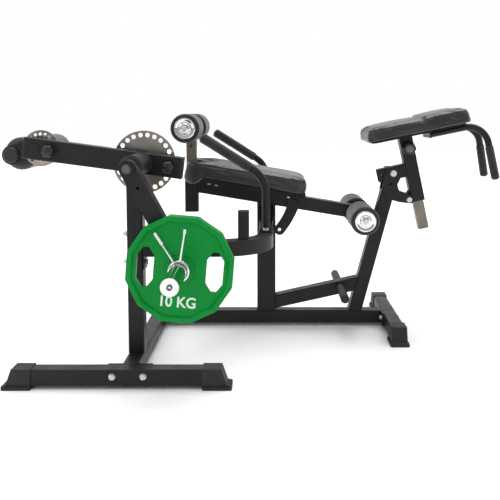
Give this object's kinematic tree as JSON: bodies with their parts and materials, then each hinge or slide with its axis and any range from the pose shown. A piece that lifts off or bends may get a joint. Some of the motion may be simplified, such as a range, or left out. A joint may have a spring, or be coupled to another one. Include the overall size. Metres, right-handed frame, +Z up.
{
  "type": "leg extension machine",
  "caption": "Plate-loaded leg extension and leg curl bench with a swinging roller lever, notched seat, tilting pad and foam rollers.",
  "frame": {"origin": "middle of the floor rectangle that the machine covers", "axes": "+X from the ankle roller towards the tilting pad, +Y from the weight side to the far side, +Z up"},
  "size_m": [1.785, 1.186, 0.8355],
  "materials": {
    "frame_paint": "satin",
    "post_steel": "satin",
    "disc_steel": "satin",
    "chrome": "polished",
    "bright_bolts": "satin",
    "vinyl": "satin",
    "foam": "matte",
    "rubber": "matte",
    "black_plastic": "matte",
    "bush_plastic": "matte",
    "board": "matte",
    "plate_green": "satin",
    "white_sleeve": "satin"
  },
  "bodies": {
    "frame": {"left_foot": "frame_paint", "cross_tube": "frame_paint", "base_beam": "frame_paint", "right_foot": "frame_paint", "foot_caps": "rubber", "left_upright": "frame_paint", "pivot_housing": "frame_paint", "housing_bushes": "bush_plastic", "centre_post": "frame_paint", "seat_rail": "frame_paint", "thigh_sleeve": "frame_paint", "leaning_upright": "frame_paint", "brace": "frame_paint", "foot_rest_bar": "frame_paint", "foot_rest_sleeves": "rubber", "bent_arm": "frame_paint", "far_arm": "frame_paint", "seat_handles": "frame_paint", "handle_grips": "foam", "hanger_bar": "frame_paint", "hinge_plates": "frame_paint", "lower_axle": "chrome", "seat_board": "board", "seat_pad": "vinyl", "tube_plugs": "black_plastic", "frame_fasteners": "bright_bolts"},
    "swing": {"pivot_shaft": "bright_bolts", "selector_disc": "disc_steel", "weight_arm": "frame_paint", "weight_horn": "chrome", "shaft_fasteners": "bright_bolts"},
    "lever": {"lever_arm": "frame_paint", "lever_bushes": "bush_plastic", "lever_plugs": "black_plastic", "pin_barrels": "bright_bolts"},
    "lever_pin": {"lever_pin": "black_plastic"},
    "roller_arm_pin": {"roller_arm_pin": "black_plastic"},
    "roller_arm": {"small_disc": "disc_steel", "roller_arm_shaft": "bright_bolts", "roller_arm": "frame_paint", "ankle_axle": "chrome", "ankle_axle_caps": "black_plastic"},
    "ankle_roller": {"ankle_roller": "foam"},
    "thigh_post": {"thigh_post": "post_steel", "thigh_axle": "chrome"},
    "thigh_roller_near": {"thigh_roller_near": "foam"},
    "thigh_roller_far": {"thigh_roller_far": "foam"},
    "thigh_pin": {"thigh_pin": "black_plastic"},
    "lower_roller_near": {"lower_roller_near": "foam"},
    "lower_roller_far": {"lower_roller_far": "foam"},
    "weight_plate": {"weight_plate": "plate_green"},
    "spring_collar": {"spring_collar": "chrome", "collar_sleeves": "white_sleeve"},
    "pad_sleeve": {"pad_sleeve": "frame_paint"},
    "pad_pin": {"pad_pin": "black_plastic"},
    "pad_post": {"pad_post": "post_steel", "pad_board": "board", "chest_pad": "vinyl", "pad_handles": "frame_paint", "pad_grips": "foam"}
  },
  "joints": [
    {"name": "lever_swing", "type": "hinge", "parent": "frame", "child": "swing", "pos_m": [-0.3785, -0.21, 0.654], "axis": [0, 1, 0], "range_deg": [-95, 100]},
    {"name": "lever_angle", "type": "hinge", "parent": "swing", "child": "lever", "pos_m": [-0.3785, -0.105, 0.654], "axis": [0, -1, 0], "range_deg": [-15, 90]},
    {"name": "roller_arm_angle", "type": "hinge", "parent": "lever", "child": "roller_arm", "pos_m": [-0.72047, -0.07, 0.69963], "axis": [0, 1, 0], "range_deg": [-100, 100]},
    {"name": "ankle_roller_spin", "type": "hinge", "parent": "roller_arm", "child": "ankle_roller", "pos_m": [-0.8345, 0.26, 0.674], "axis": [0, 1, 0], "continuous": true},
    {"name": "lever_pin_pull", "type": "slide", "parent": "lever", "child": "lever_pin", "axis": [0, -1, 0], "range_m": [0, 0.01], "stiffness_N_per_m": 400, "springref_m": -0.01},
    {"name": "roller_arm_pin_pull", "type": "slide", "parent": "lever", "child": "roller_arm_pin", "axis": [0, -1, 0], "range_m": [0, 0.01], "stiffness_N_per_m": 400, "springref_m": -0.01},
    {"name": "plate_slide", "type": "slide", "parent": "swing", "child": "weight_plate", "axis": [0, -1, 0], "range_m": [0, 0.08]},
    {"name": "collar_slide", "type": "slide", "parent": "weight_plate", "child": "spring_collar", "axis": [0, -1, 0], "range_m": [0, 0.1]},
    {"name": "thigh_height", "type": "slide", "parent": "frame", "child": "thigh_post", "axis": [0, 0, 1], "range_m": [0, 0.08]},
    {"name": "thigh_roller_near_spin", "type": "hinge", "parent": "thigh_post", "child": "thigh_roller_near", "pos_m": [-0.258, 0.1315, 0.762], "axis": [0, 1, 0], "continuous": true},
    {"name": "thigh_roller_far_spin", "type": "hinge", "parent": "thigh_post", "child": "thigh_roller_far", "pos_m": [-0.258, 0.3885, 0.762], "axis": [0, 1, 0], "continuous": true},
    {"name": "thigh_pin_pull", "type": "slide", "parent": "frame", "child": "thigh_pin", "axis": [0, 1, 0], "range_m": [0, 0.01], "stiffness_N_per_m": 400, "springref_m": -0.01},
    {"name": "lower_roller_near_spin", "type": "hinge", "parent": "frame", "child": "lower_roller_near", "pos_m": [0.3765, 0.1315, 0.435], "axis": [0, 1, 0], "continuous": true},
    {"name": "lower_roller_far_spin", "type": "hinge", "parent": "frame", "child": "lower_roller_far", "pos_m": [0.3765, 0.3885, 0.435], "axis": [0, 1, 0], "continuous": true},
    {"name": "pad_tilt", "type": "hinge", "parent": "frame", "child": "pad_sleeve", "pos_m": [0.5055, 0.26, 0.589], "axis": [0, -1, 0], "range_deg": [0, 64]},
    {"name": "pad_slide", "type": "slide", "parent": "pad_sleeve", "child": "pad_post", "axis": [-0.2147, 0, 0.9767], "range_m": [0, 0.1]},
    {"name": "pad_pin_pull", "type": "slide", "parent": "pad_sleeve", "child": "pad_pin", "axis": [0, -1, 0], "range_m": [0, 0.01], "stiffness_N_per_m": 400, "springref_m": -0.01}
  ]
}
